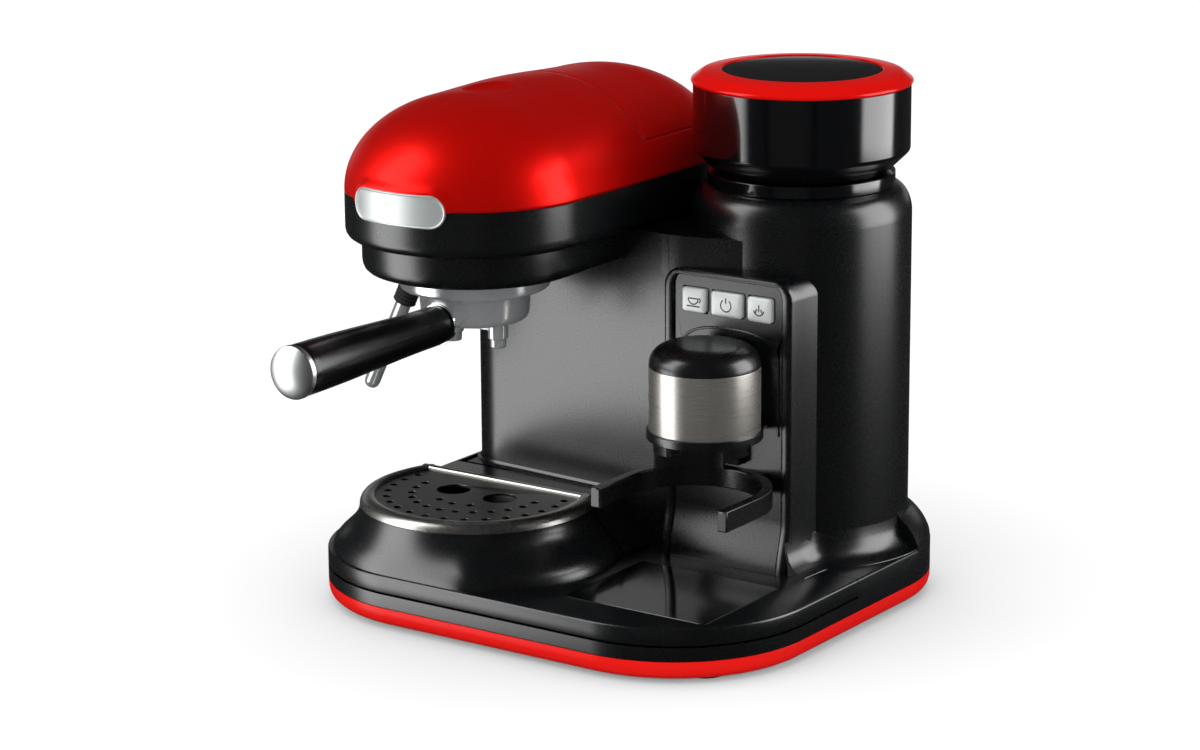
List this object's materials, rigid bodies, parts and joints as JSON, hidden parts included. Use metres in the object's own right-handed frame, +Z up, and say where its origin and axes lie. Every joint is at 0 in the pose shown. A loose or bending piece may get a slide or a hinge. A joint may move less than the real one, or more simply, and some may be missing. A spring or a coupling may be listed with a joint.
{
  "type": "espresso machine",
  "caption": "Espresso machine with a built-in coffee grinder: domed head over a round drip grate, lever handled filter holder, grinder tower with bean hopper, and three push buttons.",
  "frame": {"origin": "centre of the bounding box in plan, at the underside of the feet", "axes": "+Z up, -Y towards the user at the front, +X to the user's right, where the grinder stands"},
  "size_m": [0.314, 0.379, 0.3113],
  "materials": {
    "black_plastic": "moulded satin black plastic",
    "gloss_black": "gloss black plastic",
    "red_paint": "bright red gloss finish",
    "steel": "brushed stainless steel",
    "polished": "polished chrome",
    "cast": "polished cast aluminium",
    "silver_plastic": "satin silver plastic",
    "inner_steel": "plain machined steel",
    "brass": "plain brass",
    "rubber": "black rubber",
    "clear_plastic": "smoke clear plastic",
    "board": "green circuit board"
  },
  "bodies": {
    "machine": {"bottom_plate": "black_plastic", "feet": "rubber", "base_trim": "red_paint", "base_pan": "black_plastic", "base_screws": "inner_steel", "main_housing": "black_plastic", "rear_cover": "black_plastic", "cord_inlet": "rubber", "control_panel": "black_plastic", "control_board": "board", "outlet_cap": "black_plastic", "outlet_sleeve": "steel", "outlet_collar": "black_plastic", "dispenser_fork": "black_plastic", "grind_switch": "black_plastic", "grounds_chute": "black_plastic", "grinder_motor": "inner_steel", "grinder_gearbox": "black_plastic", "burr_chamber": "cast", "tower_cap": "black_plastic", "head_band": "gloss_black", "group_skirt": "black_plastic", "front_cover": "red_paint", "lid_hinge_pin": "inner_steel", "badge": "polished", "water_tank": "clear_plastic", "tank_seat": "black_plastic", "pump": "brass", "pump_mounts": "rubber", "suction_hose": "clear_plastic", "pressure_pipe": "clear_plastic", "boiler": "cast", "group_ring": "cast", "group_gasket": "rubber", "shower_screen": "steel", "wand_joint": "cast"},
    "tray": {"drip_tray": "black_plastic", "tray_plate": "gloss_black"},
    "grate": {"drip_grate": "steel"},
    "brew_key": {"brew_button": "silver_plastic"},
    "power_key": {"power_button": "silver_plastic"},
    "steam_key": {"steam_button": "silver_plastic"},
    "lever": {"grind_lever": "black_plastic"},
    "burr_rotor": {"burr_shaft": "inner_steel", "inner_burr": "inner_steel"},
    "grind_adjuster": {"grind_ring": "black_plastic", "outer_burr": "inner_steel"},
    "bean_hopper": {"hopper": "gloss_black"},
    "hopper_cover": {"hopper_lid": "red_paint", "lid_window": "gloss_black"},
    "tank_flap": {"tank_lid": "red_paint"},
    "portafilter": {"filter_holder": "cast", "filter_basket": "steel", "twin_spout": "cast", "handle_ferrule": "polished", "handle_grip": "gloss_black", "handle_cap": "polished"},
    "wand": {"steam_wand": "steel"},
    "knob": {"steam_knob": "gloss_black"}
  },
  "joints": [
    {"name": "tray_pull", "type": "slide", "parent": "machine", "child": "tray", "axis": [0, -1, 0], "range_m": [0, 0.12]},
    {"name": "grate_lift", "type": "slide", "parent": "tray", "child": "grate", "axis": [0, 0, 1], "range_m": [0, 0.03]},
    {"name": "brew_press", "type": "slide", "parent": "machine", "child": "brew_key", "axis": [0, 1, 0], "range_m": [0, 0.002], "stiffness_N_per_m": 600, "springref_m": -0.001},
    {"name": "power_press", "type": "slide", "parent": "machine", "child": "power_key", "axis": [0, 1, 0], "range_m": [0, 0.002], "stiffness_N_per_m": 600, "springref_m": -0.001},
    {"name": "steam_press", "type": "slide", "parent": "machine", "child": "steam_key", "axis": [0, 1, 0], "range_m": [0, 0.002], "stiffness_N_per_m": 600, "springref_m": -0.001},
    {"name": "lever_press", "type": "slide", "parent": "machine", "child": "lever", "axis": [0, 1, 0], "range_m": [0, 0.0025], "stiffness_N_per_m": 600, "springref_m": -0.001},
    {"name": "burr_spin", "type": "hinge", "parent": "machine", "child": "burr_rotor", "pos_m": [0.079, 0.1115, 0.2], "axis": [0, 0, 1], "continuous": true},
    {"name": "grind_turn", "type": "hinge", "parent": "machine", "child": "grind_adjuster", "pos_m": [0.079, 0.1115, 0.245], "axis": [0, 0, 1], "range_deg": [-60, 60]},
    {"name": "hopper_lift", "type": "slide", "parent": "grind_adjuster", "child": "bean_hopper", "axis": [0, 0, 1], "range_m": [0, 0.06]},
    {"name": "hopper_lid_lift", "type": "slide", "parent": "bean_hopper", "child": "hopper_cover", "axis": [0, 0, 1], "range_m": [0, 0.04]},
    {"name": "tank_lid_hinge", "type": "hinge", "parent": "machine", "child": "tank_flap", "pos_m": [-0.061, 0.17794, 0.271], "axis": [-1, 0, 0], "range_deg": [0, 75]},
    {"name": "holder_turn", "type": "hinge", "parent": "machine", "child": "portafilter", "pos_m": [-0.061, -0.0185, 0.195], "axis": [0, 0, 1], "range_deg": [-45, 0]},
    {"name": "wand_swivel", "type": "hinge", "parent": "machine", "child": "wand", "pos_m": [-0.1123, -0.0055, 0.198], "axis": [0, 0, 1], "range_deg": [-30, 75]},
    {"name": "steam_turn", "type": "hinge", "parent": "machine", "child": "knob", "pos_m": [-0.141, 0.0415, 0.23465], "axis": [-1, 0, 0], "range_deg": [0, 270]}
  ]
}
